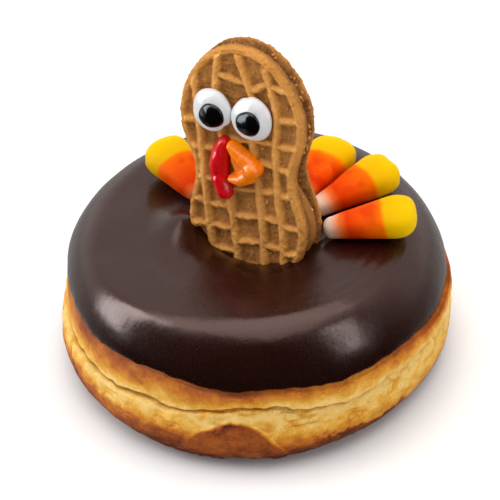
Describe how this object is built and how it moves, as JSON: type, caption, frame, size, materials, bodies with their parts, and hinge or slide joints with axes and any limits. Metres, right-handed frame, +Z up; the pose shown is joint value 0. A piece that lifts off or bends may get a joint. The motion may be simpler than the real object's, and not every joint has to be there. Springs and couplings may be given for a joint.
{
  "type": "turkey doughnut",
  "caption": "Chocolate-iced ring doughnut decorated as a turkey, with a peanut-shaped sandwich biscuit body, piped face and candy corn tail.",
  "frame": {"origin": "middle of the bounding box at the underside the doughnut stands on", "axes": "+Z up, -Y the way the turkey looks, +X to its left"},
  "size_m": [0.0972, 0.0972, 0.0855],
  "materials": {
    "dough": "fried yeast dough, golden brown with a pale band round the middle",
    "chocolate_icing": "glossy dark chocolate icing",
    "wafer": "grainy golden tan biscuit",
    "filling": "soft tan nut filling",
    "white_icing": "satin white piped icing",
    "black_icing": "glossy black piped icing",
    "red_icing": "glossy red piped icing",
    "orange_icing": "glossy orange piped icing",
    "candy": "satin candy, white tip, orange middle and yellow end"
  },
  "bodies": {
    "root": {"dough": "dough", "icing": "chocolate_icing", "wafer_front": "wafer", "wafer_back": "wafer", "filling": "filling", "eye_left": "white_icing", "pupil_left": "black_icing", "eye_right": "white_icing", "pupil_right": "black_icing", "wattle": "red_icing", "beak": "orange_icing", "candy_1": "candy", "candy_2": "candy", "candy_3": "candy", "candy_4": "candy", "candy_5": "candy"}
  },
  "joints": []
}
